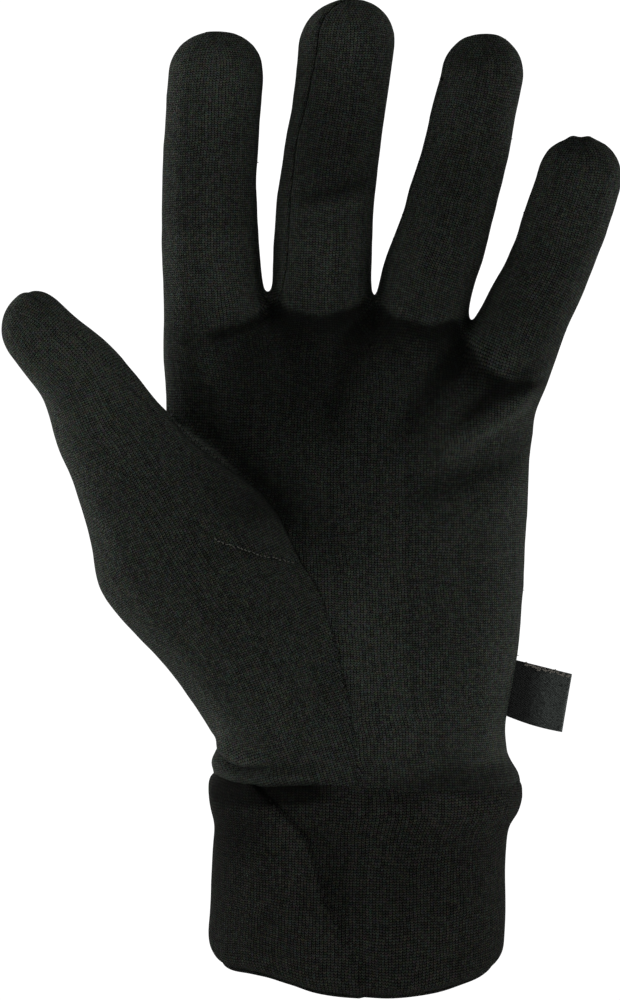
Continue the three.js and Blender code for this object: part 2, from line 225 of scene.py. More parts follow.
def tube(table, dome, tip, rings=90, around=72, domeRings=16):
    # rings through the table's rows, then a dome of that height whose top stands tip to a side
    turns = np.linspace(0, 2 * np.pi, around, endpoint=False)
    body = ringPoints(columnsAt(table, np.linspace(0, 1, rings)), turns)
    rise = np.sin(np.linspace(0, 1, domeRings + 1)[1:-1] * np.pi / 2)
    rise = np.append(rise, 0.9995)
    shrink = (1 - rise ** 2.1) ** (1 / 2.1)
    last = columnsAt(table, np.ones(len(rise)))
    last["x"] = last["x"] + tip * rise
    cap = ringPoints(last, turns, shrink, rise * dome)
    grid = np.concatenate([body, cap])
    points = np.concatenate([grid.reshape(-1, 3), grid[:1].mean(1), grid[-1:].mean(1)])
    faces = gridFaces(len(grid), around).tolist()
    ends = len(points) - 2
    k = np.arange(around)
    on = (k + 1) % around
    start = (len(grid) - 1) * around
    faces += np.stack([on, k, np.full(around, ends)], 1).tolist()
    faces += np.stack([start + k, start + on, np.full(around, ends + 1)], 1).tolist()
    return points, faces


def joinedForm():
    # every tube in one mesh, made one skin by a voxel remesh
    parts = [tube(hand["palm"], *hand["palmDome"]), tube(hand["thumb"][2], *hand["thumb"][:2])]
    parts += [tube(rows, dome, tip) for dome, tip, rows in hand["fingers"].values()]
    points, faces = [], []
    start = 0
    for p, f in parts:
        points.append(p)
        faces += [[v + start for v in face] for face in f]
        start += len(p)
    mesh = bpy.data.meshes.new("handForm")
    mesh.from_pydata((np.concatenate(points) * mm).tolist(), [], faces)
    obj = bpy.data.objects.new("handForm", mesh)
    bpy.context.scene.collection.objects.link(obj)
    remesh = obj.modifiers.new("skin", "REMESH")
    remesh.mode = "VOXEL"
    remesh.voxel_size = hand["voxel"] * mm
    made = obj.evaluated_get(bpy.context.evaluated_depsgraph_get()).to_mesh()
    made.calc_loop_triangles()
    xyz = np.empty(len(made.vertices) * 3)
    made.vertices.foreach_get("co", xyz)
    triangles = np.empty(len(made.loop_triangles) * 3, int)
    made.loop_triangles.foreach_get("vertices", triangles)
    bpy.data.objects.remove(obj)
    return xyz.reshape(-1, 3) / mm, triangles.reshape(-1, 3)


def edgesOf(triangles):
    # each pair of points that a triangle joins, once
    pairs = np.concatenate([triangles[:, [0, 1]], triangles[:, [1, 2]], triangles[:, [2, 0]]])
    return np.unique(np.sort(pairs, 1), axis=0)


def smoothed(points, edges, passes, share):
    # each point goes part of the way to its neighbours' mean; share may differ by point
    count = np.bincount(edges.ravel(), minlength=len(points))[:, None]
    share = np.broadcast_to(np.asarray(share, float), len(points))[:, None]
    for _ in range(passes):
        total = np.zeros_like(points)
        for axis in range(points.shape[1]):
            total[:, axis] = np.bincount(edges[:, 0], points[edges[:, 1], axis], len(points))
            total[:, axis] += np.bincount(edges[:, 1], points[edges[:, 0], axis], len(points))
        points = points + share * (total / np.maximum(count, 1) - points)
    return points


def normalsOf(points, triangles):
    # mean of the faces' normals round each point, weighted by area
    a, b, c = (points[triangles[:, k]] for k in range(3))
    face = np.cross(b - a, c - a)
    out = np.zeros_like(points)
    for k in range(3):
        for axis in range(3):
            out[:, axis] += np.bincount(triangles[:, k], face[:, axis], len(points))
    return out / np.maximum(np.linalg.norm(out, axis=1, keepdims=True), 1e-9)


def alongLine(points, line):
    # distance from each x, z to a broken line, which side it is on, and the part run along it
    a, b = line[:-1], line[1:]
    run = b - a
    length = np.linalg.norm(run, axis=1)
    offset = points[:, None, :] - a[None]
    t = np.clip((offset * run).sum(2) / length ** 2, 0, 1)
    gap = offset - t[..., None] * run
    distance = np.linalg.norm(gap, axis=2)
    nearest = distance.argmin(1)
    pick = np.arange(len(points))
    side = run[nearest, 0] * offset[pick, nearest, 1] - run[nearest, 1] * offset[pick, nearest, 0]
    start = np.concatenate([[0], np.cumsum(length)[:-1]])
    done = (start[nearest] + t[pick, nearest] * length[nearest]) / length.sum()
    return distance[pick, nearest], np.sign(side), done


# Folds and soft mounds of the worn fabric.
relief = {
    # a soft hump on the palm side: middle, reach each way, height
    "mounds": tableOf("x z wide high rise", [
        [-21.8, 150, 4.8, 7, 1],
        [3.2, 150, 4.8, 7, 1],
        [5, 74, 12, 24, 4],
        [-2, 88, 9, 10, 2.5],
        [-24, 71, 17, 19, 4],
        [25, 82, 16, 34, 4.5],
        [-2, 113, 19, 26, -4],
        [30, 128, 12, 12, 2],
        [-33, 140, 10, 7, 0.7],
        [-8, 142, 10, 7, 0.8],
        [13, 138, 9, 8, 0.8],
        [-35, 171, 10, 9, 0.5],
        [-8.5, 172, 10, 9, 0.5],
        [18, 167, 9, 9, 0.5],
        [43, 159, 8, 8, 0.4],
    ]),
    # knuckles and tendons of the back
    "backMounds": tableOf("x z wide high rise", [
        [-33, 143, 10, 10, 1.6],
        [-9, 145, 10, 11, 2],
        [13, 140, 9, 10, 1.6],
        [33, 132, 8, 10, 1.4],
        [-34.5, 181, 9, 7, 0.7],
        [-8, 184, 9, 8, 0.8],
        [21, 176, 8, 7, 0.7],
        [46, 165, 7, 6, 0.6],
    ]),
    # a crease or ridge: its run in x and z, width, and height; negative goes in
    "folds": [
        ([(-22, 156), (-18.5, 148), (-14, 136)], 3, -0.5),
        ([(3.4, 157), (-2, 142), (-8.5, 124)], 3.4, -0.9),
        ([(25, 149), (17.4, 135.5), (9, 123)], 3.2, -1.2),
        ([(17, 148), (7, 126)], 3.2, 0.6),
        ([(-6, 150), (-12, 128)], 3.2, 0.4),
        ([(46, 139.5), (35, 130.5), (18, 119)], 2.2, 2),
        ([(43, 141.5), (34, 139), (25, 130)], 1.9, -0.9),
        ([(42, 121.5), (28, 116.5), (10, 108.5)], 2.8, -1.9),
        ([(41, 112), (28, 107), (14, 98)], 3.4, 0.7),
        ([(-31, 112), (-26, 105), (-18, 99)], 4.5, -0.9),
        ([(-48, 173), (-41, 173.4), (-34, 174.2), (-24, 177)], 1.4, -0.5),
        ([(-46, 198), (-36, 196), (-24, 198)], 3, -0.4),
        ([(-16, 179), (-11, 180), (-3, 182.2), (6, 185.4)], 1.2, -0.6),
        ([(-16, 176.5), (-10, 177.6), (-3, 179.8), (6, 183)], 1.5, 0.4),
        ([(-14, 203), (-5, 205), (6, 205)], 3, -0.4),
        ([(13, 175.5), (20, 172.4), (28, 173.5)], 1.8, -0.4),
        ([(18, 196), (27, 197), (36, 199)], 3, -0.4),
        ([(36, 170), (45, 168), (54, 172)], 2.4, -0.4),
        ([(-41, 97.5), (-28, 96.8), (-16, 93)], 1.6, -0.4),
        ([(-62, 105), (-50, 114), (-38, 116)], 3, -0.6),
        ([(-70.5, 134), (-63, 136), (-58, 141)], 2, -0.5),
    ],
    # the pads of the fingers stand over the palm along these lines, run from +X to -X:
    # depth of the step, how sharp it is, and how far below it the palm comes back
    "steps": [
        ([(-21, 158), (-23.5, 155.2), (-28.5, 152.2), (-37.5, 149.6)], 1.6, 1, 9),
        ([(3, 158.8), (-1.9, 155.4), (-9.2, 153.4), (-16.4, 155), (-20.8, 158.4)], 2.1, 1, 10),
        ([(24.8, 153.6), (17.4, 151.2), (8.9, 153.2), (4.2, 158)], 2, 1, 9),
        ([(46.5, 139.2), (36.7, 137.6), (29.4, 142.3), (26, 148.2)], 2.1, 1, 8),
    ],
    "thumbStep": 0.6,
    # gathers where the side seam closes over the little fingertip: x, z, reach, height
    "puckers": [(51.2, 197, 1.3, 0.7), (53.1, 195.6, 0.9, -0.8), (55.2, 196.8, 1.3, 0.5),
                (50, 194, 1.2, -0.4)],
    # slow waves of the whole cloth: seed, size and height
    "waves": [(3, 16, 0.1), (4, 7, 0.045)],
    # the fabric sags over the cuff under the ball of the thumb, in two nested rolls
    "sags": [
        ([(-33, 54), (-31.6, 51.2), (-29.6, 49), (-26.5, 47.9), (-21, 47.9)], 1.5, 2.2),
        ([(-34.8, 53), (-33, 49.6), (-31, 47.3), (-28, 46), (-23, 45.9)], 0.8, -1.9),
        ([(-36, 48.5), (-32.8, 45.4), (-29, 43.8), (-24, 43.2), (-17, 43.8), (-7, 44.6)], 1.4, 2),
        ([(8, 43.2), (24, 44), (37, 46)], 2, -0.6),
        ([(12, 47), (26, 48.6), (38, 52)], 2.2, 0.5),
    ],
}


def foldHeight(points, folds):
    # sum of soft lines, each fading out at its two ends
    out = np.zeros(len(points))
    xz = points[:, [0, 2]]
    for line, wide, rise in folds:
        line = np.array(line, float)
        low, high = line.min(0) - 4 * wide, line.max(0) + 4 * wide
        near = np.all((xz > low) & (xz < high), axis=1)
        distance, _, done = alongLine(xz[near], line)
        ends = smoothstep(done, 0, 0.18) * smoothstep(1 - done, 0, 0.25)
        out[near] += rise * bell(distance, wide) * (0.25 + 0.75 * ends)
    return out


def stepHeight(points, steps):
    # falls by the depth across the line, then eases back over the reach below it
    out = np.zeros(len(points))
    xz = points[:, [0, 2]]
    for line, depth, sharp, reach in steps:
        line = np.array(line, float)
        low, high = line.min(0) - 3 * reach, line.max(0) + 3 * reach
        near = np.all((xz > low) & (xz < high), axis=1)
        distance, side, done = alongLine(xz[near], line)
        below = distance * side
        ends = smoothstep(done, 0, 0.12) * smoothstep(1 - done, 0, 0.12)
        inside = bell(np.where((done <= 0) | (done >= 1), distance, 0), 3)
        fall = smoothstep(below, -0.7 * sharp, sharp) * np.exp(-np.maximum(below, 0) / reach)
        out[near] -= depth * fall * (0.35 + 0.65 * ends) * inside
    return out


def moundHeight(points, table):
    # sum of soft humps: height times a bell in x times a bell in z
    x, z = points[:, 0, None], points[:, 2, None]
    hump = bell(x - table["x"], table["wide"]) * bell(z - table["z"], table["high"])
    return (hump * table["rise"]).sum(1)


def slackWaves(points, seed, size, height):
    # a sum of slow waves in random directions: the cloth is never quite smooth
    random = np.random.default_rng(seed)
    out = np.zeros(len(points))
    for _ in range(14):
        direction = random.normal(size=3)
        direction *= 2 * np.pi / (size * random.uniform(0.7, 1.6)) / np.linalg.norm(direction)
        out += np.sin(points @ direction + random.uniform(0, 2 * np.pi))
    return height * out / math.sqrt(14)


seams = {
    # how far each finger's side seams are turned round it, and moved towards the palm side
    "rolls": {"index": (0.05, 0), "middle": (0.62, 2.6), "ring": (0.3, 0), "little": (0.1, 0)},
    # edge of the thumb piece on the palm side and on the back
    "palmSide": [(-51, 150), (-44.8, 129.6), (-40.6, 124.6), (-34.5, 119.8), (-28.5, 115.8),
                 (-23, 111.6), (-18.8, 106.2), (-15.9, 100.2), (-13.5, 94.8), (-9.2, 87.6),
                 (-5.6, 76), (-2.4, 63.9), (-0.7, 49.4), (0, 30)],
    "backSide": [(-43, 150), (-44.8, 129.6), (-46, 117), (-47.6, 104), (-49.6, 90), (-53.5, 76),
                 (-75, 68), (-95, 62)],
    # a dart in the ball of the thumb, and the closing seam up the thumb
    "dart": [(-39.1, 104.9), (-35.3, 101.8), (-32.9, 99.9), (-29.2, 98.8), (-23.2, 96.7),
             (-14.3, 94.7)],
    "thumbTop": [(-78.2, 158.9), (-75.3, 156.8), (-72.6, 154.1), (-70, 151.7), (-63.4, 145.9),
                 (-55, 137.5), (-47.8, 130.2)],
    "groove": 0.3,
    "grooveWidth": 0.7,
    # the soft rim beside a groove: height, how far off the seam, width
    "rim": (0.12, 2.2, 1.3),
}


def sideSeamDepth(x, z):
    # y of the side seams: the middle of each tube's depth, turned round it by its roll
    total = np.zeros_like(x)
    weight = np.zeros_like(x)
    for name, (_, _, rows) in hand["fingers"].items():
        roll, shift = seams["rolls"][name]
        t = np.clip((z - rows["z"][0]) / (rows["z"][-1] - rows["z"][0]), 0, 1)
        row = columnsAt(rows, t)
        share = bell(x - row["x"], 9) + 1e-9
        held = smoothstep(z, 142, 165)
        aside = np.clip(x - row["x"], -16, 16)
        lower = 1 + 0.8 * (1 - smoothstep(z, 165, 200))
        total += share * ((row["front"] + row["back"]) / 2 + (roll * aside - shift * lower) * held)
        weight += share
    palm = hand["palm"]
    row = columnsAt(palm, np.interp(z, palm["z"], np.linspace(0, 1, len(palm["z"]))))
    onFinger = smoothstep(z, 128, 150)
    return (row["front"] + row["back"]) / 2 * (1 - onFinger) + total / weight * onFinger


def lineField(points, line):
    # signed distance in the x, z plane: below zero on the thumb's side
    distance, side, _ = alongLine(points[:, [0, 2]], np.array(line, float))
    return distance * side


def snapTo(points, field, edges, allowed):
    # where an edge crosses zero, its nearer end moves along it onto the line
    a, b = edges[:, 0], edges[:, 1]
    cross = (field[a] * field[b] < 0) & allowed[a] & allowed[b]
    a, b = a[cross], b[cross]
    part = field[a] / (field[a] - field[b])
    place = points[a] + part[:, None] * (points[b] - points[a])
    nearer = np.where(part < 0.5, a, b)
    count = np.bincount(nearer, minlength=len(points))
    moved = count > 0
    total = np.stack([np.bincount(nearer, place[:, k], len(points)) for k in range(3)], 1)
    points = points.copy()
    points[moved] = total[moved] / count[moved, None]
    field = field.copy()
    field[moved] = 0
    return points, field, moved


def grainAlong(points, rows, back, base):
    # (across, along) in millimetres on a tube: across is the length round its section from
    # the middle of the palm side or of the back, along is the length up its run
    t = np.linspace(0, 1, 90)
    row = columnsAt(rows, t)
    axis = np.stack([row["x"], row["z"]], 1)
    step = np.linalg.norm(np.diff(axis, axis=0), axis=1)
    length = np.concatenate([[0], np.cumsum(step)])
    nearest = np.empty(len(points), int)
    for start in range(0, len(points), 20000):
        part = points[start:start + 20000, [0, 2]]
        nearest[start:start + 20000] = ((part[:, None] - axis) ** 2).sum(2).argmin(1)
    lean = np.radians(row["lean"][nearest])
    offset = points[:, [0, 2]] - axis[nearest]
    along = length[nearest] + offset[:, 0] * np.sin(lean) + offset[:, 1] * np.cos(lean)
    across = offset[:, 0] * np.cos(lean) - offset[:, 1] * np.sin(lean)
    half = row["width"][nearest] / 2
    depth = (row["back"] - row["front"])[nearest] / 2
    y = points[:, 1] - (row["front"] + row["back"])[nearest] / 2
    facing = np.where(back, y, -y)
    # round the sides the length follows the depth, and past the widest line it comes back
    aside = np.abs(across)
    around = np.where(facing > 0, aside, np.maximum(2 * half - aside, aside))
    around = np.sign(across) * (around + 0.85 * np.maximum(depth - facing, 0))
    return base + around, along + rows["z"][0], aside / half


def handGrain(points, back):
    # the palm's grain, going over into each finger's own above its root
    across, along, _ = grainAlong(points, hand["palm"], back, -1.2)
    best = np.full(len(points), 1e9)
    fingerAcross, fingerAlong = across.copy(), along.copy()
    for _, _, rows in hand["fingers"].values():
        a, s, off = grainAlong(points, rows, back, np.interp(150, rows["z"], rows["x"]))
        closer = off < best
        best = np.where(closer, off, best)
        fingerAcross = np.where(closer, a, fingerAcross)
        fingerAlong = np.where(closer, s, fingerAlong)
    share = smoothstep(points[:, 2] + 0.25 * np.maximum(points[:, 0], 0), 138, 158)
    return np.stack([across + share * (fingerAcross - across),
                     along + share * (fingerAlong - along)], 1)


def buildHand():
    # the joined form, smoothed, moved out or in by every relief, then cut along the seams
    points, triangles = joinedForm()
    edges = edgesOf(triangles)
    print("hand skin", len(points), "points")
    # the joins between the tubes are smoothed most
    z = points[:, 2]
    join = smoothstep(z, 120, 140) * (1 - smoothstep(z, 156, 166))
    thumbJoin = np.exp(-(lineField(points, seams["palmSide"]) / 7) ** 2) * (z < 128)
    share = 0.3 + 0.25 * np.maximum(join, 0.6 * thumbJoin)
    for x, high in hand["crotches"]:
        share -= 0.35 * share * bell(np.hypot(points[:, 0] - x, points[:, 2] - high - 8), 4.5)
    points = smoothed(points, edges, hand["smoothPasses"], share)
    # below the dart the thumb piece runs on into the palm without a step, and the cloth
    # bridges the fingers' roots
    low = bell(lineField(points, seams["palmSide"]) - 2, 9)
    low *= 1 - smoothstep(points[:, 2], 90, 102)
    for x, high in hand["crotches"]:
        low += bell(np.hypot(points[:, 0] - x, 0.8 * (points[:, 2] - high)), 5)
    low *= points[:, 1] < -3
    points = smoothed(points, edges, hand["bridgePasses"], np.minimum(0.6 * low, 0.6))
    normal = normalsOf(points, triangles)
    across, along, _ = grainAlong(points, hand["thumb"][2], np.zeros(len(points), bool), 0.0)
    grains = {
        "palm_panel": handGrain(points, np.zeros(len(points), bool)),
        "back_panel": handGrain(points, np.ones(len(points), bool)),
        "thumb_panel": np.stack([across, along], 1),
    }
    front = smoothstep(-normal[:, 1], 0.05, 0.75)
    behind = smoothstep(normal[:, 1], 0.05, 0.75)
    out = np.zeros_like(points)
    out[:, 1] -= moundHeight(points, relief["mounds"]) * front
    out[:, 1] += moundHeight(points, relief["backMounds"]) * behind
    points = points + out
    height = foldHeight(points, relief["folds"]) + stepHeight(points, relief["steps"])
    height *= front
    toFront = smoothstep(-normal[:, 1], -0.3, 0.2)
    height += foldHeight(points, relief["sags"]) * toFront
    # the lower edge turns in under the sagging rolls and at the sides, and is flush elsewhere
    flush = smoothstep(points[:, 0], -12, -4) * np.maximum(front, smoothstep(points[:, 0], 22, 32))
    tuck = hand["edgeTuck"]
    height -= (tuck - tuck * flush) * (1 - smoothstep(points[:, 2], 41, 43.4))
    height += hand["edgeFlush"] * flush * (1 - smoothstep(points[:, 2], 42, 48))
    # the ball of the thumb stands over the palm along their seam
    beside = lineField(points, seams["palmSide"])
    over, under = (relief["thumbStep"] * np.exp(-np.maximum(away, 0) / reach)
                   * smoothstep(away, low, high)
                   for away, reach, low, high in ((-beside, 7, -0.6, 0.4), (beside, 5, -0.4, 0.6)))
    held = smoothstep(points[:, 2], 90, 104) * (1 - smoothstep(points[:, 2], 124, 132))
    height += (over - under) * front * (0.06 + held)
    for x, high, wide, rise in relief["puckers"]:
        height += rise * bell(np.hypot(points[:, 0] - x, points[:, 2] - high), wide)
    height += sum(slackWaves(points, *wave) for wave in relief["waves"])
    points = points + normal * height[:, None]
    points = smoothed(points, edges, 3, 0.4)
    print("mounds and folds")

    side = points[:, 1] - sideSeamDepth(points[:, 0], points[:, 2])
    palmLine = lineField(points, seams["palmSide"])
    backLine = lineField(points, seams["backSide"])
    everywhere = np.ones(len(points), bool)
    lift = smoothstep(-points[:, 0], 26, 34) * smoothstep(8 - points[:, 1], 0, 8)
    lowerEdge = hand["bodyEnd"] + hand["edgeLift"] * lift
    points, bottom, onBottom = snapTo(points, points[:, 2] - lowerEdge, edges, everywhere)
    points, side, onSide = snapTo(points, side, edges, backLine > -1)
    palmLine = lineField(points, seams["palmSide"])
    points, palmLine, onPalm = snapTo(points, palmLine, edges, (side <= 0) & ~onSide)
    backLine = lineField(points, seams["backSide"])
    points, backLine, onBack = snapTo(points, backLine, edges, (side >= 0) & ~onSide)
    free = ~(onSide | onPalm | onBack | onBottom)
    for line in ("dart", "thumbTop"):
        distance, aside, done = alongLine(points[:, [0, 2]], np.array(seams[line], float))
        near = free & (distance < 3) & (done > 0.01) & (done < 0.99)
        near &= (normal[:, 1] < 0.3) if line == "dart" else (np.abs(normal[:, 1]) < 0.95)
        points, _, _ = snapTo(points, distance * aside, edges, near)

    # distance to the nearest seam; a field changes by about its distance off the line
    gradient = np.abs(normal[:, [0, 2]]).max(1)
    sideGap = np.where(backLine > -2, np.abs(side) / np.clip(gradient, 0.35, 1), 9)
    palmGap = np.where((side < 1) & (points[:, 2] < 129), np.abs(palmLine), 9)
    backGap = np.where(side > -1, np.abs(backLine), 9)
    dartGap, _, _ = alongLine(points[:, [0, 2]], np.array(seams["dart"], float))
    dartGap = np.where(front > 0.2, dartGap, 9)
    topGap, _, _ = alongLine(points[:, [0, 2]], np.array(seams["thumbTop"], float))
    topGap = np.where(np.abs(normal[:, 1]) < 0.9, topGap, 9)
    palmGap = palmGap + 0.8 * (1 - smoothstep(points[:, 2], 90, 98))
    gap = np.minimum.reduce([sideGap + 0.4, palmGap, backGap, dartGap + 0.2, topGap + 0.25])
    normal = normalsOf(points, triangles)
    rise, away, wide = seams["rim"]
    sink = seams["groove"] * bell(gap, seams["grooveWidth"]) - rise * bell(gap - away, wide)
    points = points - normal * sink[:, None]

    def centre(values):
        return values[triangles].mean(1)

    inThumb = np.where(centre(side) < 0, centre(palmLine) < 0, centre(backLine) < 0)
    kept = centre(bottom) > 0
    labels = np.where(inThumb, 2, np.where(centre(side) < 0, 0, 1))
    return points, triangles[kept], labels[kept], gap, grains, front


# how light the knit is drawn: lighter where it is stretched and darker where slack, together with
# painted light and shade: painted highlights on ridges, painted shadows in creases, under the pads
# and beside the ball of the thumb
tones = {
    "plain": 0.26,
    "least": 0.06,
    "most": 0.8,
    "waves": (9, 30, 0.015),
    # strength of the painted shade below the pads and of the painted shadow beside the thumb
    "shadeUnderPads": 0.11,
    "shadowBesideThumb": 0.08,
    "nearCuff": 0.65,
    # painted light and shade together with lighter stretched and darker slack knit: middle, reach
    # each way, amount
    "shadePatches": tableOf("x z wide high rise", [
        [-34, 212, 12, 14, 0.19],
        [-35, 162, 13, 12, 0.12],
        [-35, 185, 11, 7, -0.02],
        [-3, 222, 8, 9, 0.13],
        [-7.5, 190, 9, 14, -0.07],
        [-8.5, 168, 10, 9, 0.03],
        [22, 182, 9, 16, -0.06],
        [45, 160, 8, 12, -0.03],
        [53, 196, 9, 5, -0.08],
        [26, 216, 9, 4, -0.08],
        [-1, 236, 9, 4, -0.08],
        [-68, 138, 16, 22, 0.22],
        [-52, 95, 14, 20, 0.03],
        [30, 75, 14, 30, 0.05],
        [36, 112, 9, 22, 0.05],
        [22, 52, 26, 9, 0.05],
        [-26, 58, 12, 9, 0.05],
        [4, 80, 8, 18, 0.07],
        [-10, 128, 20, 18, -0.07],
        [-20, 135, 16, 12, -0.05],
        [-21.8, 153, 4, 5, 0.12],
        [3, 154, 4, 5, 0.12],
        [-24, 107.5, 8, 5.5, -0.12],
        [-31, 113, 8, 7, -0.05],
        [32, 50, 6, 6, 0.1],
        [-31, 51.5, 5, 6, 0.1],
        [17, 161, 9, 8, -0.03],
        [40, 153, 9, 8, -0.025],
        [-6, 84, 7, 13, 0.08],
        [-40, 131, 6, 7, 0.08],
        [-43, 142, 7, 9, 0.09],
        [-9.5, 203, 9, 9, -0.02],
    ]),
    # painted highlights along ridges and rolls, and painted shade in creases and under the pads:
    # run in x and z, width, amount
    "lines": [
        ([(3.4, 157), (-2, 142), (-8.5, 124)], 3, -0.05),
        ([(26, 149), (17.4, 135.5), (9, 123)], 3.2, -0.09),
        ([(47, 139), (36, 130), (18, 118)], 3, 0.2),
        ([(-14, 178), (-8, 178.8), (-2, 180.2), (4, 182.4)], 2, 0.06),
        ([(-15, 181.2), (-8, 182.4), (-2.5, 184), (4, 187)], 1.6, -0.11),
        ([(-46, 174.8), (-36, 174.8), (-26, 177)], 1.6, -0.06),
        ([(-45, 171.8), (-35, 172), (-25, 174)], 2, 0.05),
        ([(-10, 96), (-3.5, 84), (0, 72), (2, 60)], 4, 0.065),
        ([(-15, 94), (-10, 82), (-7, 68), (-5, 56)], 4, -0.012),
        ([(44, 141.5), (36, 137), (28, 131), (22, 126)], 1.8, -0.14),
        ([(40.5, 121), (28, 116.5), (10, 108.5)], 3.2, -0.08),
        ([(-44, 137), (-37, 127), (-24, 115), (-14, 100)], 3, -0.07),
        ([(-41, 97.5), (-28, 98), (-16, 95)], 2, -0.06),
        ([(-20, 154), (-24, 152.6), (-29, 150.2), (-38, 148)], 1.5, -0.08),
        ([(-33, 54), (-31.6, 51.2), (-29.6, 49), (-26.5, 47.9), (-21, 47.9)], 1, 0.1),
        ([(-34.8, 53), (-33, 49.6), (-31, 47.3), (-28, 46), (-22, 45.9)], 0.8, -0.16),
        ([(-36, 48.5), (-32.8, 45.4), (-29, 43.8), (-24, 43.2), (-17, 43.8), (-7, 44.6)], 1, 0.06),
        ([(-20, 41), (-14, 41.6), (-8, 42.6)], 1.3, -0.14),
        ([(-1, 155.4), (-4, 153.4), (-9.2, 151.8), (-14.5, 153.4), (-18, 156)], 1.5, -0.1),
        ([(24, 151.5), (17.4, 149.6), (10, 151.2), (6, 154)], 1.5, -0.09),
        ([(47, 137.2), (37.5, 135.6), (31, 138.3)], 1.6, -0.12),
    ],
}

points, triangles, labels, seamGap, grains, front = buildHand()
print("seams cut")

# painted shade: dark bands under the pads and a painted shadow beside the ball of the thumb, added
# to the painted patches and lines
facing = -normalsOf(points, triangles)[:, 1]
stretch = tones["plain"] + moundHeight(points, tones["shadePatches"]) * smoothstep(facing, -0.7, 0)
stretch += slackWaves(points, *tones["waves"])
stretch += foldHeight(points, tones["lines"]) * front
stretch += tones["shadeUnderPads"] * stepHeight(points, relief["steps"]) * front
# a painted shadow on the palm beside the seam of the thumb piece
beside = lineField(points, seams["palmSide"])
thumbShadow = smoothstep(beside, -0.5, 0.5) * np.exp(-np.maximum(beside, 0) / 7)
thumbShadow *= smoothstep(points[:, 2], 92, 108) * (1 - smoothstep(points[:, 2], 130, 140))
stretch -= tones["shadowBesideThumb"] * thumbShadow * front
# darker near the cuff, up to a line that rises towards the little finger
overCuff = points[:, 2] - 5 * smoothstep(points[:, 0], 0, 34)
stretch *= tones["nearCuff"] + (1 - tones["nearCuff"]) * smoothstep(overCuff, 40.5, 45)
stretch = np.clip(stretch, tones["least"], tones["most"])
panels = {}
for name, label in (("palm_panel", 0), ("back_panel", 1), ("thumb_panel", 2)):
    mine = triangles[labels == label]
    used, index = np.unique(mine, return_inverse=True)
    piece = meshObject(name + "Knit", points[used], index.reshape(-1, 3), grains[name][used])
    addNumbers(piece, "seamGap", seamGap[used])
    addNumbers(piece, "stretch", stretch[used])
    wall = piece.modifiers.new("fabric", "SOLIDIFY")
    wall.thickness = hand["wall"] * mm
    wall.offset = -1
    panels[name] = piece
    print(name, len(used), "points")

cuff = {
    "rows": tableOf("x z lean width front back pitch", [
        [0.1, 0.2, 0, 66.6, -17.4, 31.2, 16],
        [0, 1.8, 0, 70.2, -18.6, 31.6, 16],
        [-0.1, 4.4, 0, 71.6, -19.4, 31, 14],
        [0, 10, 0, 71.8, -20.4, 29.6, 12],
        [0.2, 20, 0, 70.6, -21.6, 27.4, 9],
        [0.4, 27, 0, 70.6, -22, 26.2, 7],
        [0.9, 31.4, 0, 71.4, -21.8, 25.6, 5],
        [1.7, 35, 0, 74.2, -21.8, 25.2, 3],
        [1.9, 38.4, 0, 75.6, -21.9, 25, 1],
        [1.8, 40.8, 0, 74.8, -21.5, 24.6, 0],
        [1.7, 42.6, 0, 71.6, -20.6, 23, 0],
    ]),
    "hemWaves": tableOf("x wide rise", [[-25, 11, 2.6], [9, 12, -1]]),
    "waves": [(21, 18, 0.14), (22, 8, 0.05)],
    "over": 0.7,  # how far the cloth left of the seam stands out, and the cloth right of it in
    "under": 0.6,
    "groove": 0.25,
    "grooveWidth": 0.6,
    "edgeFlush": 0.7,
    "wall": 2.2,
    "levels": 120,
    "around": 300,
    "seam": [(-24, 41.5), (-20.7, 38.1), (-16.4, 34.5), (-12.3, 29.4), (-9.9, 21.2), (-8.4, 15.7),
             (-2.7, 6), (-0.5, -1.2), (0.4, -6)],
    "folds": [
        ([(-36, 37.5), (-24, 37.2), (-10, 36.5)], 1.8, -0.5),
        ([(-34, 31), (-20, 33.5), (-4, 33)], 2.6, 0.35),
        ([(20, 33), (30, 30.5), (37, 29.5)], 2.4, -0.5),
        ([(-30, 24), (-12, 27)], 3.2, -0.25),
        ([(6, 18), (26, 22)], 3.4, 0.22),
    ],
    "stretch": 0.2,
    # painted shade on the cuff's sides, where the side lights fall, and a dark oval; lighter at the
    # right and near the hem: middle, reach each way, amount
    "shadePatches": tableOf("x z wide high rise", [
        [26, 37, 14, 6, 0.08],
        [30, 18, 12, 18, 0.02],
        [-26, 30, 6.5, 5, -0.05],
        [-34, 18, 12, 40, -0.09],
        [36, 12, 11, 26, -0.07],
        [0, 5, 30, 6, 0.03],
    ]),
    # painted shadow under the sagging rolls and on the under side of the seam, and painted light on
    # its over side: run, width, amount
    "lines": [
        ([(-50, 41), (-30, 40), (-20, 40), (-6, 41)], 2.6, -0.16),
        ([(-28, 41.5), (-22, 39.8), (-14, 40), (-8, 40.6)], 2, -0.19),
        ([(0, 40), (18, 38)], 2, -0.06),
        ([(-13, 35), (-7, 27.5), (-5.5, 20), (-2, 10)], 3.6, -0.07),
        ([(-23, 38), (-15, 28), (-13, 18)], 5, 0.03),
    ],
}


def cuffRing(level, turns, inset):
    # the squared ellipse at that level, tilted and waved
    row = columnsAt(cuff["rows"], level)
    grid = ringPoints(row, turns, inset=inset)
    middle = ((row["front"] + row["back"]) / 2)[:, None]
    # the rings are lowered on the palm side, and the mouth waves there
    grid[..., 2] += (grid[..., 1] - middle) * np.tan(np.radians(row["pitch"]))[:, None]
    x, y, z = grid[..., 0], grid[..., 1], grid[..., 2]
    wave = sum(rise * bell(x - at, wide) for at, wide, rise in zip(*cuff["hemWaves"].values()))
    grid[..., 2] += wave * smoothstep(15 - z, 0, 18) * smoothstep(5 - y, 0, 20)
    grid[..., 2] += 2 * smoothstep(-x, 26, 34) * smoothstep(z, 35, 41) * smoothstep(8 - y, 0, 8)
    return grid


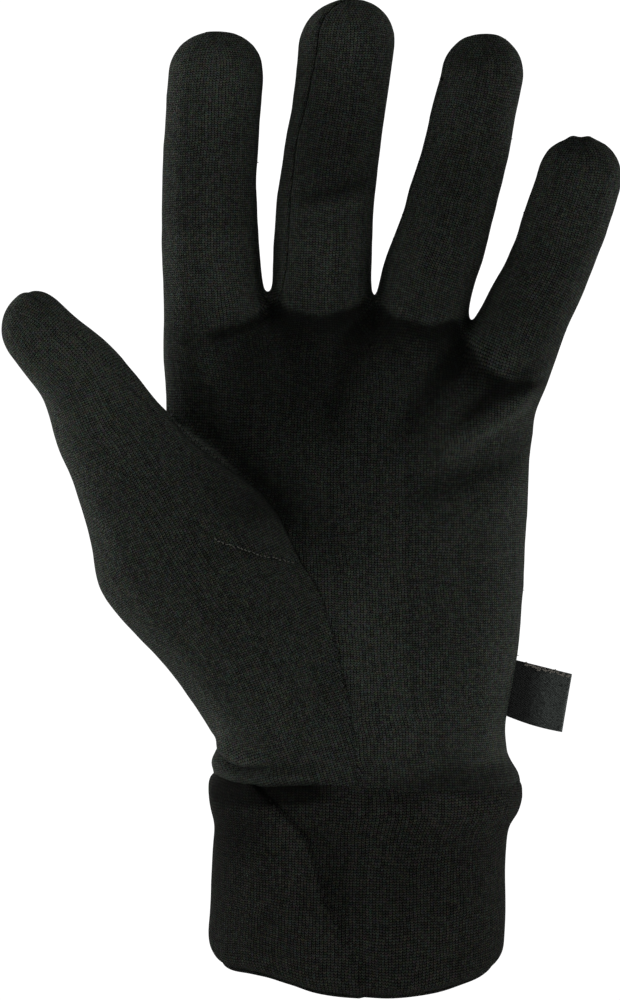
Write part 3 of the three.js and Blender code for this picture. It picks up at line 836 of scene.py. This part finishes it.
def buildCuff():
    # two walls: up the outside, over the top and down the inside, closed by the fold below
    turns = np.linspace(0, 2 * np.pi, cuff["around"], endpoint=False)
    levels = np.linspace(0, 1, cuff["levels"]) ** 1.15
    outer = cuffRing(levels, turns, 0.0)
    inner = cuffRing(levels[::-6], turns, cuff["wall"])
    part = np.linspace(0, 1, 10)[1:-1]
    fold = []
    for share in part:
        ring = cuffRing(np.zeros(1), turns, cuff["wall"] * (1 - share))
        ring[..., 2] -= cuff["wall"] * math.sqrt(share * (1 - share))
        fold.append(ring)
    grid = np.concatenate([outer, inner] + fold)
    points = grid.reshape(-1, 3)
    faces = gridFaces(len(grid), cuff["around"], loopRows=True)
    triangles = np.concatenate([faces[:, [0, 1, 2]], faces[:, [0, 2, 3]]])
    normal = normalsOf(points, triangles)
    front = smoothstep(-normal[:, 1], 0.05, 0.6)
    xz = points[:, [0, 2]]
    gap, _, _ = alongLine(xz, np.array(cuff["seam"], float))
    gap = np.where(front > 0.3, gap, 9)
    height = foldHeight(points, cuff["folds"]) * front
    # the cloth left of the cuff's seam lies over the cloth right of it
    beside = lineField(points, cuff["seam"])
    over = cuff["over"] * np.exp(-np.maximum(-beside, 0) / 14) * smoothstep(-beside, -0.5, 0.3)
    under = cuff["under"] * np.exp(-np.maximum(beside, 0) / 4) * smoothstep(beside, -0.3, 0.5)
    height += (over - under) * front - cuff["groove"] * bell(gap, cuff["grooveWidth"])
    flush = smoothstep(points[:, 0], -12, -4) * np.maximum(front, smoothstep(points[:, 0], 22, 32))
    height += cuff["edgeFlush"] * flush * smoothstep(points[:, 2], 39, 42.5)
    height += sum(slackWaves(points, *wave) for wave in cuff["waves"])
    points = points + normal * height[:, None]
    # grain: length round the section, and height
    ring = grid[cuff["levels"] // 2]
    closed = np.concatenate([ring, ring[:1]])
    arc = np.concatenate([[0], np.cumsum(np.linalg.norm(np.diff(closed, axis=0), axis=1))])[:-1]
    across = np.tile(arc, len(grid))
    run = np.concatenate([[0], np.cumsum(np.linalg.norm(np.diff(grid[:, 0], axis=0), axis=1))])
    along = np.repeat(run, cuff["around"])
    piece = meshObject("cuffBand", points, faces, np.stack([across, along], 1))
    addNumbers(piece, "seamGap", gap)
    # how light the cuff's knit is drawn, with painted light and shade from its patches and lines
    stretch = cuff["stretch"] + moundHeight(points, cuff["shadePatches"])
    stretch += slackWaves(points, 23, 25, 0.015)
    stretch += foldHeight(points, cuff["lines"]) * front
    addNumbers(piece, "stretch", np.clip(stretch, 0.05, 0.8))
    return piece


cuffBand = buildCuff()
print("cuff", len(cuffBand.data.vertices), "points")

ribbon = {
    # its corners in x and z where it leaves the seam, and where it folds back
    "rootTop": (37.4, 71.4),
    "rootEnd": (35.4, 57.9),
    "foldTop": (51.6, 67.8),
    "foldEnd": (49.2, 53.8),
    "reach": 13.5,
    "width": 14,
    "seam": -2.2,
    "gap": 1.0,
    "layer": 0.55,
    "bow": 0.7,
    "sway": 1.5,
}


def buildRibbon():
    # a strip out from the seam, over a fold and back: its path is a reach and a depth
    reach = ribbon["reach"]
    turn = ribbon["gap"] / 2
    straight = 1 - (turn + ribbon["layer"] / 2) / reach
    out = np.linspace(0, straight, 40)
    angle = np.linspace(0, np.pi, 15)[1:-1]
    part = np.concatenate([out, straight + turn / reach * np.sin(angle), out[::-1]])
    depth = np.concatenate([np.full(40, -turn), -turn * np.cos(angle), np.full(40, turn)])
    facing = np.concatenate([np.zeros(40), angle, np.full(40, np.pi)])
    across = np.linspace(0, 1, 40)
    half = ribbon["layer"] / 2

    def corner(first, last, along):
        return np.array(first)[None] + along[:, None] * (np.array(last) - np.array(first))[None]

    def sheet(offset):
        along = part + offset * np.sin(facing) / reach
        top = corner(ribbon["rootTop"], ribbon["foldTop"], along)
        end = corner(ribbon["rootEnd"], ribbon["foldEnd"], along)
        end[:, 1] -= ribbon["bow"] * np.sin(np.pi * np.clip(along, 0, 1)) * 0.6
        flat = top[:, None] + across[None, :, None] * (end - top)[:, None]
        y = ribbon["seam"] + depth - offset * np.cos(facing) + ribbon["sway"] * part ** 2
        y = y[:, None] + 0.35 * np.sin(across * np.pi)[None] * part[:, None]
        return np.stack([flat[..., 0], y, flat[..., 1]], -1)

    face, under = sheet(half), sheet(-half)
    section = np.concatenate([face, under[:, ::-1]], 1)
    rows, columns = section.shape[:2]
    points = section.reshape(-1, 3)
    faces = gridFaces(rows, columns).tolist()
    faces.append(list(range(columns))[::-1])
    faces.append([(rows - 1) * columns + k for k in range(columns)])
    v = np.tile(np.concatenate([across, across[::-1]]) * ribbon["width"], rows)
    u = np.repeat(part * reach, columns)
    piece = meshObject("ribbonLoop", points, faces, np.stack([u, v], 1))
    addNumbers(piece, "reach", np.repeat(part, columns))
    return piece


ribbonLoop = buildRibbon()
print("ribbon loop")

# rows of stitches: the line, the part of it that is sewn, the pitch, each stitch's length and
# width, its lift over the cloth, how far it strays, and its colour
stitchRows = {
    "dartStitches": dict(line=seams["dart"], sewn=(0.25, 0.98), pitch=0.95, long=0.8, wide=0.34,
                         lift=0.05, stray=0.12, color=(0.075, 0.075, 0.064)),
    "seamStitches": dict(line=seams["palmSide"], sewn=(0.505, 0.93), pitch=1.3, long=0.75, wide=0.3,
                         lift=0.0, stray=0.16, color=(0.006, 0.006, 0.005)),
    "cuffStitches": dict(line=cuff["seam"], sewn=(0.08, 0.92), pitch=1.3, long=0.8, wide=0.32,
                         lift=0.0, stray=0.14, color=(0.004, 0.004, 0.0035)),
    "selvedgeLoops": dict(line=[(40.2, 70.2), (46, 68.6), (51.2, 67.2)], sewn=(0, 1), pitch=0.22,
                          long=0.55, wide=0.42, lift=0.02, stray=0.26, color=(0.15, 0.14, 0.122)),
}


def buildStitches(name, spec, surface, normal):
    # a row of small beads along the line, each laid on the surface point nearest to it
    line = np.array(spec["line"], float)
    long, wide = spec["long"], spec["wide"]
    length = np.linalg.norm(np.diff(line, axis=0), axis=1)
    total = length.sum()
    run = np.arange(spec["sewn"][0] * total, spec["sewn"][1] * total, spec["pitch"])
    start = np.concatenate([[0], np.cumsum(length)])
    centre = np.stack([np.interp(run, start, line[:, k]) for k in range(2)], 1)
    ahead = np.stack([np.interp(run + 1, start, line[:, k]) for k in range(2)], 1) - centre
    random = np.random.default_rng(len(run))
    turn = np.arctan2(ahead[:, 1], ahead[:, 0]) + random.normal(0, 0.3, len(run))
    centre += random.normal(0, spec["stray"], centre.shape)
    nearest = ((centre[:, None] - surface[None][..., [0, 2]]) ** 2).sum(2).argmin(1)
    out = normal[nearest]
    along = np.stack([np.cos(turn), 0 * turn, np.sin(turn)], 1)
    along -= (along * out).sum(1)[:, None] * out
    along /= np.linalg.norm(along, axis=1)[:, None]
    aside = np.cross(out, along)
    middle = np.stack([centre[:, 0], surface[nearest, 1], centre[:, 1]], 1)
    middle += spec["lift"] * out
    # one bead: rings of an ellipsoid closed by a point at each end
    tilt, around = np.linspace(0, np.pi, 6)[1:-1], np.linspace(0, 2 * np.pi, 8, endpoint=False)
    ring = np.stack([np.repeat(np.cos(tilt), 8), np.outer(np.sin(tilt), np.cos(around)).ravel(),
                     np.outer(np.sin(tilt), np.sin(around)).ravel()], 1)
    bead = np.concatenate([ring, [[1, 0, 0], [-1, 0, 0]]]) * [long / 2, wide / 2, wide / 2]
    points = (middle[:, None] + bead[None, :, :1] * along[:, None]
              + bead[None, :, 1:2] * aside[:, None] + bead[None, :, 2:] * out[:, None])
    sides = gridFaces(4, 8)
    k = np.arange(8)
    on = (k + 1) % 8
    ends = np.stack([on, k, np.full(8, 32)], 1), np.stack([24 + k, 24 + on, np.full(8, 33)], 1)
    step = np.arange(len(run))[:, None, None] * 34
    faces = []
    for part in (sides, *ends):
        faces += (part[None] + step).reshape(-1, part.shape[1]).tolist()
    return meshObject(name, points.reshape(-1, 3), faces)


def pointsOf(obj):
    # its points in millimetres
    xyz = np.empty(len(obj.data.vertices) * 3)
    obj.data.vertices.foreach_get("co", xyz)
    return xyz.reshape(-1, 3) / mm


stitched = {}
for name, spec in stitchRows.items():
    if name == "selvedgeLoops":
        surface = pointsOf(ribbonLoop)
        use = surface[:, 1] < ribbon["seam"] + 0.5
    elif name == "cuffStitches":
        surface = pointsOf(cuffBand)
        use = surface[:, 1] < np.where(surface[:, 2] < 20, -12, -14)
    else:
        surface, normal = points, normalsOf(points, triangles)
        use = normal[:, 1] < -0.4
    if surface is not points:
        normal = np.tile([0.0, -1.0, 0.0], (len(surface), 1))
    stitched[name] = buildStitches(name, spec, surface[use], normal[use])
    print(name)


def newGroup(name, inputs, outputs):
    # a shader node group with its sockets, its nodes and a short way to link them
    group = bpy.data.node_groups.new(name, "ShaderNodeTree")
    kinds = {"float": "NodeSocketFloat", "vector": "NodeSocketVector", "color": "NodeSocketColor"}
    for side, sockets in (("INPUT", inputs), ("OUTPUT", outputs)):
        for label, kind, value in sockets:
            socket = group.interface.new_socket(label, in_out=side, socket_type=kinds[kind])
            if value is not None:
                socket.default_value = value
    return group, group.nodes.new("NodeGroupInput"), group.nodes.new("NodeGroupOutput")


def mathIn(tree):
    # a short way to work out a number in this node tree, from numbers and other outputs
    def calc(operation, *values):
        node = tree.nodes.new("ShaderNodeMath")
        node.operation = operation
        for slot, value in enumerate(values):
            if isinstance(value, (int, float)):
                node.inputs[slot].default_value = value
            else:
                tree.links.new(value, node.inputs[slot])
        return node.outputs[0]

    return calc


def addNode(tree, kind, **values):
    # a shader node with its properties and unlinked sockets set
    node = tree.nodes.new("ShaderNode" + kind)
    for name, value in values.items():
        if name in node.bl_rna.properties:
            setattr(node, name, value)
        else:
            node.inputs[name.replace("_", " ")].default_value = value
    return node


# how far the columns wander, how steep the V of a stitch is, and how much the shade of each
# stitch and of each column counts
stitchForm = {"wander": 1.6, "slant": 0.6, "single": 0.75, "column": 0.25}


def knitGroup():
    # stocking stitch: columns of V shapes. Height is the loops' round backs, Gap the dark
    # space between two columns, Tone a shade that differs from stitch to stitch and column
    # to column.
    group, into, out = newGroup("stockingStitch", [
        ("Grain", "vector", None), ("Column", "float", 0.78), ("Course", "float", 0.56),
    ], [("Height", "float", None), ("Gap", "float", None), ("Tone", "float", None)])
    calc = mathIn(group)
    split = addNode(group, "SeparateXYZ")
    group.links.new(into.outputs["Grain"], split.inputs[0])
    # the columns wander a little, as a stretched knit's do
    wander = addNode(group, "TexNoise", noise_dimensions="2D", Scale=0.08, Detail=2.0)
    group.links.new(into.outputs["Grain"], wander.inputs["Vector"])
    sway = calc("MULTIPLY", calc("SUBTRACT", wander.outputs["Fac"], 0.5), stitchForm["wander"])
    u = calc("DIVIDE", calc("ADD", split.outputs["X"], sway), into.outputs["Column"])
    v = calc("DIVIDE", calc("ADD", split.outputs["Y"], sway), into.outputs["Course"])
    # 0 at the middle of a column and 1 where it meets the next
    off = calc("MULTIPLY", calc("ABSOLUTE", calc("SUBTRACT", calc("FRACT", u), 0.5)), 2)
    leg = calc("SINE", calc("MULTIPLY", off, math.pi))
    slant = calc("SUBTRACT", v, calc("MULTIPLY", off, stitchForm["slant"]))
    loop = calc("SINE", calc("MULTIPLY", calc("FRACT", slant), math.pi))
    bulge = calc("ADD", calc("MULTIPLY", calc("POWER", leg, 0.5), 0.65), 0.35)
    height = calc("MULTIPLY", bulge, calc("POWER", loop, 0.6))
    group.links.new(height, out.inputs["Height"])
    group.links.new(calc("POWER", off, 3), out.inputs["Gap"])
    # one shade for each stitch and one for each column
    shades = []
    for row, seed in ((calc("FLOOR", slant), 0.5), (None, 7.5)):
        cell = addNode(group, "CombineXYZ")
        cell.inputs[2].default_value = seed
        group.links.new(calc("FLOOR", u), cell.inputs[0])
        if row is not None:
            group.links.new(row, cell.inputs[1])
        white = addNode(group, "TexWhiteNoise", noise_dimensions="3D")
        group.links.new(cell.outputs[0], white.inputs["Vector"])
        shades.append(white.outputs["Value"])
    single = calc("MULTIPLY", shades[0], stitchForm["single"])
    tone = calc("ADD", single, calc("MULTIPLY", shades[1], stitchForm["column"]))
    group.links.new(tone, out.inputs["Tone"])
    return group


knitStitches = knitGroup()

# the yarn's darkest and lightest colour, and the width of a column and height of a course
knits = {
    "blackKnit": dict(dark=(0.0016, 0.0016, 0.0014), light=(0.0465, 0.0525, 0.0440),
                      column=0.78, course=0.56, sheen=0.008, shine=0.02),
    "cuffKnit": dict(dark=(0.0016, 0.0016, 0.0014), light=(0.0410, 0.0435, 0.0370),
                     column=0.81, course=0.56, sheen=0.0, shine=0.01),
}
# how much each thing adds to a stitch's shade, and what is taken off their sum
shadeOf = {"Height": 4.0, "Gap": -2.1, "Tone": 1.7, "cloud": 0.8, "less": 1.97, "least": 0.03}


def knitMaterial(name, dark, light, column, course, sheen, shine):
    # from dark to light by: shade of the stitch, times the knit's stretch with its painted light
    # and shade, times a half to 1 from the seam outwards
    material = bpy.data.materials.new(name)
    material.use_nodes = True
    tree = material.node_tree
    calc = mathIn(tree)
    shader = tree.nodes["Principled BSDF"]
    grain = addNode(tree, "UVMap", uv_map="grain")
    stitches = addNode(tree, "Group", node_tree=knitStitches, Column=column, Course=course)
    tree.links.new(grain.outputs["UV"], stitches.inputs["Grain"])
    stretched = addNode(tree, "Attribute", attribute_name="stretch")
    gap = addNode(tree, "Attribute", attribute_name="seamGap")
    place = addNode(tree, "TexCoord")
    cloud = addNode(tree, "TexNoise", Scale=700.0, Detail=3.0)
    tree.links.new(place.outputs["Object"], cloud.inputs["Vector"])
    shade = 0.0
    for part in ("Height", "Gap", "Tone", "cloud"):
        value = cloud.outputs["Fac"] if part == "cloud" else stitches.outputs[part]
        shade = calc("ADD", calc("MULTIPLY", value, shadeOf[part]), shade)
    shade = calc("MAXIMUM", calc("SUBTRACT", shade, shadeOf["less"]), shadeOf["least"])
    seam = calc("MULTIPLY", gap.outputs["Fac"], 1.6)
    seam.node.use_clamp = True
    tone = calc("MULTIPLY", shade, stretched.outputs["Fac"])
    tone = calc("MULTIPLY", tone, calc("ADD", calc("MULTIPLY", seam, 0.5), 0.5))
    tone.node.use_clamp = True
    color = addNode(tree, "Mix", data_type="RGBA", A=(*dark, 1), B=(*light, 1))
    tree.links.new(tone, color.inputs["Factor"])
    # fibres catch the light in slightly different hues
    fibres = addNode(tree, "TexNoise", Scale=1300.0, Detail=1.0)
    tree.links.new(place.outputs["Object"], fibres.inputs["Vector"])
    hue = addNode(tree, "Mix", data_type="RGBA", blend_type="OVERLAY", Factor=0.5)
    tree.links.new(color.outputs["Result"], hue.inputs["A"])
    tree.links.new(fibres.outputs["Color"], hue.inputs["B"])
    tree.links.new(hue.outputs["Result"], shader.inputs["Base Color"])
    shader.inputs["Roughness"].default_value = 0.8
    shader.inputs["Specular IOR Level"].default_value = shine
    shader.inputs["Sheen Weight"].default_value = sheen
    shader.inputs["Sheen Roughness"].default_value = 0.45
    shader.inputs["Sheen Tint"].default_value = (0.9, 1, 0.94, 1)
    height = calc("ADD", stitches.outputs["Height"], calc("POWER", seam, 0.5))
    bump = addNode(tree, "Bump", Strength=0.8, Distance=0.2 * mm)
    tree.links.new(height, bump.inputs["Height"])
    tree.links.new(bump.outputs["Normal"], shader.inputs["Normal"])
    return material


fabrics = {name: knitMaterial(name, **yarn) for name, yarn in knits.items()}

ribbonLook = {
    "dark": (0.002, 0.0022, 0.002),
    "light": (0.045, 0.052, 0.048),
    "warp": 0.5,
    "weft": 0.42,
    "speck": (0.45, 0.4, 1),
}


def ribbonMaterial():
    # crossed sine ribs of a woven ribbon and a random shade for each small field of them,
    # times the light, which falls off towards the seam
    material = bpy.data.materials.new("blackRibbon")
    material.use_nodes = True
    tree = material.node_tree
    calc = mathIn(tree)
    shader = tree.nodes["Principled BSDF"]
    grain = addNode(tree, "UVMap", uv_map="grain")
    split = addNode(tree, "SeparateXYZ")
    tree.links.new(grain.outputs["UV"], split.inputs[0])
    warp = calc("SINE", calc("MULTIPLY", split.outputs["X"], 2 * math.pi / ribbonLook["warp"]))
    weft = calc("SINE", calc("MULTIPLY", split.outputs["Y"], 2 * math.pi / ribbonLook["weft"]))
    weave = calc("MULTIPLY", warp, weft)
    cell = addNode(tree, "VectorMath", operation="SNAP")
    cell.inputs[1].default_value = ribbonLook["speck"]
    tree.links.new(grain.outputs["UV"], cell.inputs[0])
    speck = addNode(tree, "TexWhiteNoise", noise_dimensions="2D")
    tree.links.new(cell.outputs[0], speck.inputs["Vector"])
    tone = calc("MULTIPLY", speck.outputs["Value"], 0.55)
    tone = calc("ADD", calc("ADD", tone, calc("MULTIPLY", weave, 0.15)), 0.15)
    tone.node.use_clamp = True
    reach = addNode(tree, "Attribute", attribute_name="reach")
    lit = addNode(tree, "MapRange", interpolation_type="SMOOTHSTEP", From_Min=0.25, From_Max=0.85,
                  To_Min=0.2, To_Max=2.6)
    tree.links.new(reach.outputs["Fac"], lit.inputs["Value"])
    tone = calc("MULTIPLY", tone, lit.outputs["Result"])
    color = addNode(tree, "Mix", data_type="RGBA", A=(*ribbonLook["dark"], 1),
                    B=(*ribbonLook["light"], 1))
    tree.links.new(tone, color.inputs["Factor"])
    tree.links.new(color.outputs["Result"], shader.inputs["Base Color"])
    shader.inputs["Roughness"].default_value = 0.6
    shader.inputs["Specular IOR Level"].default_value = 0.16
    shader.inputs["Sheen Weight"].default_value = 0.02
    bump = addNode(tree, "Bump", Strength=0.8, Distance=0.12 * mm)
    tree.links.new(weave, bump.inputs["Height"])
    tree.links.new(bump.outputs["Normal"], shader.inputs["Normal"])
    return material


for piece in panels.values():
    piece.data.materials.append(fabrics["blackKnit"])
cuffBand.data.materials.append(fabrics["cuffKnit"])
ribbonLoop.data.materials.append(ribbonMaterial())
print("materials")

for name, piece in stitched.items():
    thread = bpy.data.materials.new(name + "Thread")
    thread.use_nodes = True
    shader = thread.node_tree.nodes["Principled BSDF"]
    shader.inputs["Base Color"].default_value = (*stitchRows[name]["color"], 1)
    shader.inputs["Roughness"].default_value = 0.7
    shader.inputs["Specular IOR Level"].default_value = 0.1
    piece.data.materials.append(thread)
    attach(piece, "root")

for node, piece in panels.items():
    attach(piece, "root")
    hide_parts(node)
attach(cuffBand, "root")
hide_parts("cuff")
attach(ribbonLoop, "root")
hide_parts("label_tab")

studio = {
    # how far the camera stands off, and the x and z it looks at
    "distance": 1000.0,
    "middle": (-11.58, 109.75),
    "mmPerPixel": 0.2412,
    "pixelsHigh": 1000,
    "sensor": 36,
    "floor": -300.0,
    "floorHalf": 1400,
    "white": 1.1,  # strength of the wall, and of the floor far out
    "aim": (0, 0, 110),
    # place, size and power of each light
    "lights": {
        "leftSoftbox": ((-900, -280, 150), 600, 5.8),
        "rightSoftbox": ((900, -280, 100), 600, 4.5),
        "frontSoftbox": ((-100, -1300, 500), 500, 1.9),
        "leftRim": ((-850, 420, 250), 300, 6.5),
        "rightRim": ((850, 420, 250), 300, 4),
        "topSoftbox": ((-100, -150, 1400), 700, 4),
    },
}


def buildStudio():
    # pale floor, white wall, the camera and square lights that all face the aim
    scene = bpy.context.scene
    half = studio["floorHalf"]
    corners = [(-half, -half, 0), (half, -half, 0), (half, half, 0), (-half, half, 0)]
    floor = meshObject("floor", np.array(corners, float) + [0, 0, studio["floor"]], [[0, 1, 2, 3]])
    paint = bpy.data.materials.new("paleFloor")
    paint.use_nodes = True
    tree = paint.node_tree
    calc = mathIn(tree)
    shader = tree.nodes["Principled BSDF"]
    shader.inputs["Base Color"].default_value = (0.8, 0.8, 0.8, 1)
    shader.inputs["Roughness"].default_value = 0.9
    shader.inputs["Emission Color"].default_value = (1, 1, 1, 1)
    # the eye sees the floor run out into the white wall, but the glove isn't lit by it
    place = addNode(tree, "TexCoord")
    away = addNode(tree, "VectorMath", operation="LENGTH")
    tree.links.new(place.outputs["Object"], away.inputs[0])
    fade = addNode(tree, "MapRange", interpolation_type="SMOOTHSTEP", From_Min=0.4, From_Max=1.3,
                   To_Min=0.35, To_Max=studio["white"])
    tree.links.new(away.outputs["Value"], fade.inputs["Value"])
    rays = addNode(tree, "LightPath")
    seen = calc("MULTIPLY", fade.outputs["Result"], rays.outputs["Is Camera Ray"])
    tree.links.new(seen, shader.inputs["Emission Strength"])
    floor.data.materials.append(paint)

    world = bpy.data.worlds.new("studio")
    scene.world = world
    world.use_nodes = True
    tree = world.node_tree
    calc = mathIn(tree)
    background = tree.nodes["Background"]
    # bright behind the glove and dim all round it, so that the light comes from the sides
    place = addNode(tree, "TexCoord")
    split = addNode(tree, "SeparateXYZ")
    tree.links.new(place.outputs["Generated"], split.inputs[0])
    ramp = addNode(tree, "MapRange", From_Min=0.75, From_Max=0.96, To_Min=0.06,
                   To_Max=studio["white"])
    tree.links.new(split.outputs["Y"], ramp.inputs["Value"])
    # the camera sees the wall white from every side
    rays = addNode(tree, "LightPath")
    wall = calc("MULTIPLY", rays.outputs["Is Camera Ray"], studio["white"])
    strength = calc("MAXIMUM", ramp.outputs["Result"], wall)
    tree.links.new(strength, background.inputs["Strength"])
    background.inputs["Color"].default_value = (1, 1, 1, 1)

    camera = bpy.data.objects.new("camera", bpy.data.cameras.new("camera"))
    scene.collection.objects.link(camera)
    camera.location = (studio["middle"][0] * mm, -studio["distance"] * mm, studio["middle"][1] * mm)
    camera.rotation_euler = (math.pi / 2, 0, 0)
    camera.data.sensor_fit = "VERTICAL"
    camera.data.sensor_height = studio["sensor"]
    viewHigh = studio["pixelsHigh"] * studio["mmPerPixel"]
    camera.data.lens = studio["sensor"] * studio["distance"] / viewHigh
    camera.data.clip_start = 0.05
    scene.camera = camera

    for name, (place, size, power) in studio["lights"].items():
        light = bpy.data.objects.new(name, bpy.data.lights.new(name, "AREA"))
        light.data.size = size * mm
        light.data.energy = power
        light.location = Vector(place) * mm
        aim = Vector(studio["aim"]) * mm - light.location
        light.rotation_euler = aim.to_track_quat("-Z", "Y").to_euler()
        scene.collection.objects.link(light)
    scene.view_settings.view_transform = "Standard"
    scene.view_settings.look = "None"


buildStudio()
print("studio")
